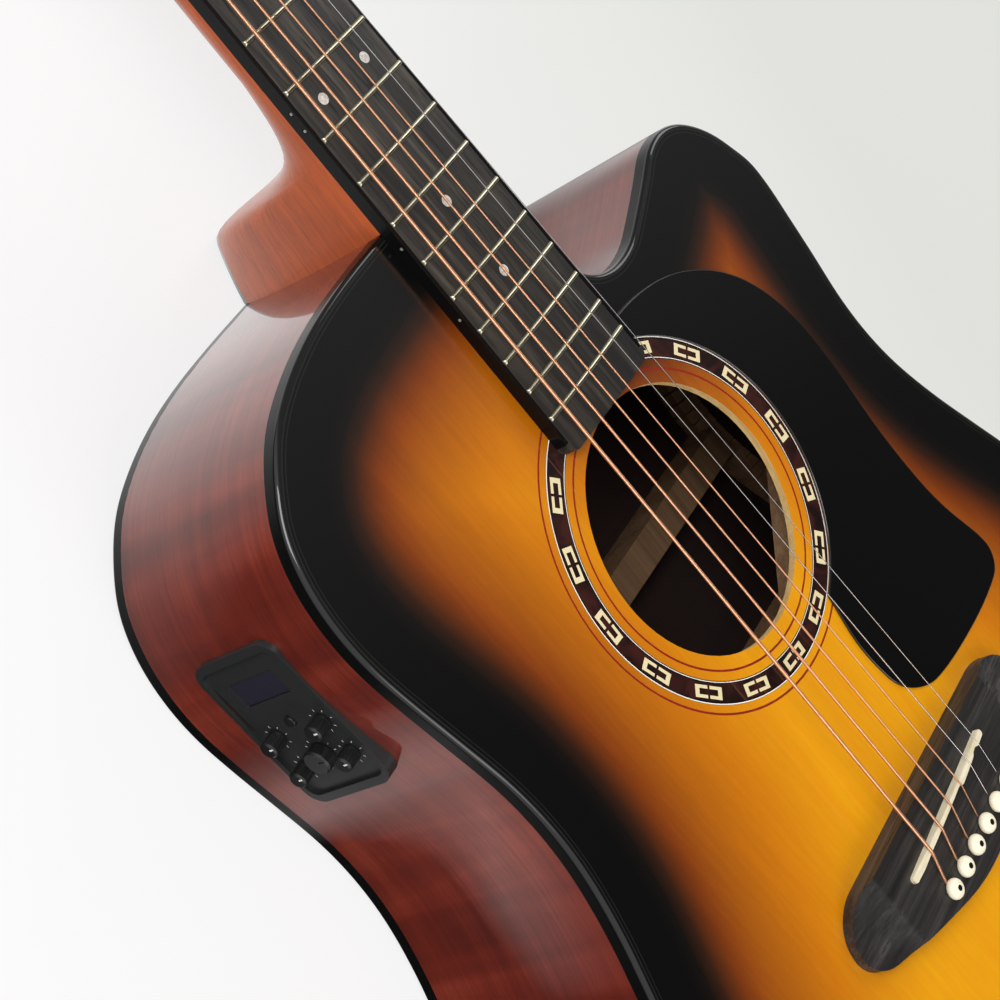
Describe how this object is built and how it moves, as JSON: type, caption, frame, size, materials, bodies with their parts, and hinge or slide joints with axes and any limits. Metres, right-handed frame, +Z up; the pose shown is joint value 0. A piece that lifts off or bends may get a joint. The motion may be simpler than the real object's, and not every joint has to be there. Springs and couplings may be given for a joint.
{
  "type": "acoustic-electric guitar",
  "caption": "Steel-string dreadnought guitar with a rounded cutaway, a sunburst top, turning tuners, and a side preamp with turning knobs and a sprung button.",
  "frame": {"origin": "on the plane of the flat back, straight below the centre of the soundhole, with the guitar lying on its back", "axes": "+X to the treble side, +Y along the back towards the headstock, +Z up out of the soundboard side"},
  "size_m": [0.397, 1.0531, 0.1276],
  "materials": {
    "sunburst_spruce": "high gloss sunburst lacquer over spruce",
    "gloss_mahogany": "gloss red-brown lacquer over figured mahogany",
    "neck_mahogany": "gloss lacquer over straight-grained mahogany",
    "plain_spruce": "raw",
    "plain_mahogany": "raw",
    "plate_maple": "raw",
    "black_binding": "gloss",
    "dark_line": "flush under lacquer",
    "rosette_inlay": "flush under lacquer, rings and bracket motifs",
    "black_guard": "gloss",
    "dark_rosewood": "oiled, open pores",
    "bone": "polished",
    "cream_pin": "polished",
    "pickup_brass": "plain",
    "nickel_fret": "polished nickel silver",
    "white_dot": "polished",
    "bronze_winding": "wound phosphor bronze",
    "plain_steel": "drawn wire",
    "tuner_chrome": "plated",
    "bright_steel": "plated",
    "cover_plastic": "gloss",
    "preamp_plastic": "fine satin",
    "circuit_board": "solder mask",
    "screen_glass": "clear window over a dark display",
    "battery_case": "painted",
    "knob_plastic": "satin",
    "jack_metal": "plated",
    "lead_rubber": "matt"
  },
  "bodies": {
    "guitar": {"soundboard": "sunburst_spruce", "back_plate": "gloss_mahogany", "side_bass": "gloss_mahogany", "side_treble": "gloss_mahogany", "neck_block": "plain_mahogany", "tail_block": "plain_mahogany", "linings": "plain_spruce", "x_braces": "plain_spruce", "top_braces": "plain_spruce", "back_braces": "plain_spruce", "bridge_plate": "plate_maple", "bindings": "black_binding", "purfling": "dark_line", "rosette": "rosette_inlay", "pickguard": "black_guard", "bridge": "dark_rosewood", "saddle": "bone", "bridge_pins": "cream_pin", "pickup_strip": "pickup_brass", "neck": "neck_mahogany", "heel_cap": "neck_mahogany", "neck_bolts": "bright_steel", "truss_rod": "bright_steel", "truss_rod_cover": "cover_plastic", "headstock_veneer": "dark_rosewood", "fretboard": "dark_rosewood", "frets": "nickel_fret", "fret_markers": "white_dot", "nut": "bone", "wound_strings": "bronze_winding", "plain_strings": "plain_steel", "tuner_housings": "tuner_chrome", "tuner_bushings": "tuner_chrome", "small_screws": "bright_steel", "preamp_bezel": "preamp_plastic", "preamp_box": "preamp_plastic", "preamp_board": "circuit_board", "preamp_screen": "screen_glass", "battery": "battery_case", "endpin_jack": "jack_metal", "output_lead": "lead_rubber", "pickup_lead": "lead_rubber"},
    "tuner_post_6": {"tuner_post_6": "tuner_chrome"},
    "tuner_key_6": {"tuner_key_6": "tuner_chrome"},
    "tuner_post_5": {"tuner_post_5": "tuner_chrome"},
    "tuner_key_5": {"tuner_key_5": "tuner_chrome"},
    "tuner_post_4": {"tuner_post_4": "tuner_chrome"},
    "tuner_key_4": {"tuner_key_4": "tuner_chrome"},
    "tuner_post_3": {"tuner_post_3": "tuner_chrome"},
    "tuner_key_3": {"tuner_key_3": "tuner_chrome"},
    "tuner_post_2": {"tuner_post_2": "tuner_chrome"},
    "tuner_key_2": {"tuner_key_2": "tuner_chrome"},
    "tuner_post_1": {"tuner_post_1": "tuner_chrome"},
    "tuner_key_1": {"tuner_key_1": "tuner_chrome"},
    "tone_knob_1": {"tone_knob_1": "knob_plastic"},
    "tone_knob_2": {"tone_knob_2": "knob_plastic"},
    "tone_knob_3": {"tone_knob_3": "knob_plastic"},
    "tone_knob_4": {"tone_knob_4": "knob_plastic"},
    "volume_knob": {"volume_knob": "knob_plastic"},
    "switch_button": {"switch_button": "knob_plastic"}
  },
  "joints": [
    {"name": "tuner_key_6_turn", "type": "hinge", "parent": "guitar", "child": "tuner_key_6", "pos_m": [-0.023, 0.53814, 0.04831], "axis": [-1, 0, 0], "continuous": true},
    {"name": "tuner_post_6_turn", "type": "hinge", "parent": "guitar", "child": "tuner_post_6", "pos_m": [-0.023, 0.55116, 0.06719], "axis": [0, 0.2783, 0.9605], "continuous": true},
    {"name": "tuner_key_5_turn", "type": "hinge", "parent": "guitar", "child": "tuner_key_5", "pos_m": [-0.023, 0.57656, 0.03718], "axis": [-1, 0, 0], "continuous": true},
    {"name": "tuner_post_5_turn", "type": "hinge", "parent": "guitar", "child": "tuner_post_5", "pos_m": [-0.023, 0.58958, 0.05606], "axis": [0, 0.2783, 0.9605], "continuous": true},
    {"name": "tuner_key_4_turn", "type": "hinge", "parent": "guitar", "child": "tuner_key_4", "pos_m": [-0.023, 0.61498, 0.02605], "axis": [-1, 0, 0], "continuous": true},
    {"name": "tuner_post_4_turn", "type": "hinge", "parent": "guitar", "child": "tuner_post_4", "pos_m": [-0.023, 0.628, 0.04493], "axis": [0, 0.2783, 0.9605], "continuous": true},
    {"name": "tuner_key_3_turn", "type": "hinge", "parent": "guitar", "child": "tuner_key_3", "pos_m": [0.023, 0.61498, 0.02605], "axis": [1, 0, 0], "continuous": true},
    {"name": "tuner_post_3_turn", "type": "hinge", "parent": "guitar", "child": "tuner_post_3", "pos_m": [0.023, 0.628, 0.04493], "axis": [0, 0.2783, 0.9605], "continuous": true},
    {"name": "tuner_key_2_turn", "type": "hinge", "parent": "guitar", "child": "tuner_key_2", "pos_m": [0.023, 0.57656, 0.03718], "axis": [1, 0, 0], "continuous": true},
    {"name": "tuner_post_2_turn", "type": "hinge", "parent": "guitar", "child": "tuner_post_2", "pos_m": [0.023, 0.58958, 0.05606], "axis": [0, 0.2783, 0.9605], "continuous": true},
    {"name": "tuner_key_1_turn", "type": "hinge", "parent": "guitar", "child": "tuner_key_1", "pos_m": [0.023, 0.53814, 0.04831], "axis": [1, 0, 0], "continuous": true},
    {"name": "tuner_post_1_turn", "type": "hinge", "parent": "guitar", "child": "tuner_post_1", "pos_m": [0.023, 0.55116, 0.06719], "axis": [0, 0.2783, 0.9605], "continuous": true},
    {"name": "tone_knob_1_turn", "type": "hinge", "parent": "guitar", "child": "tone_knob_1", "pos_m": [-0.14394, 0.04887, 0.0643], "axis": [-0.9994, -0.0336, 0.0019], "range_deg": [-140, 140]},
    {"name": "tone_knob_2_turn", "type": "hinge", "parent": "guitar", "child": "tone_knob_2", "pos_m": [-0.14345, 0.0346, 0.06508], "axis": [-0.9994, -0.0336, 0.0019], "range_deg": [-140, 140]},
    {"name": "tone_knob_3_turn", "type": "hinge", "parent": "guitar", "child": "tone_knob_3", "pos_m": [-0.14394, 0.04747, 0.03893], "axis": [-0.9994, -0.0336, 0.0019], "range_deg": [-140, 140]},
    {"name": "tone_knob_4_turn", "type": "hinge", "parent": "guitar", "child": "tone_knob_4", "pos_m": [-0.14345, 0.0332, 0.03972], "axis": [-0.9994, -0.0336, 0.0019], "range_deg": [-140, 140]},
    {"name": "volume_knob_turn", "type": "hinge", "parent": "guitar", "child": "volume_knob", "pos_m": [-0.14355, 0.03658, 0.05205], "axis": [-0.9994, -0.0336, 0.0019], "range_deg": [-140, 140]},
    {"name": "switch_button_press", "type": "slide", "parent": "guitar", "child": "switch_button", "axis": [0.9994, 0.0336, -0.0019], "range_m": [0, 0.0008], "stiffness_N_per_m": 600}
  ],
  "couplings": [
    {"joint": "tuner_post_6_turn", "follows": "tuner_key_6_turn", "ratio": 0.066667},
    {"joint": "tuner_post_5_turn", "follows": "tuner_key_5_turn", "ratio": 0.066667},
    {"joint": "tuner_post_4_turn", "follows": "tuner_key_4_turn", "ratio": 0.066667},
    {"joint": "tuner_post_3_turn", "follows": "tuner_key_3_turn", "ratio": -0.066667},
    {"joint": "tuner_post_2_turn", "follows": "tuner_key_2_turn", "ratio": -0.066667},
    {"joint": "tuner_post_1_turn", "follows": "tuner_key_1_turn", "ratio": -0.066667}
  ]
}
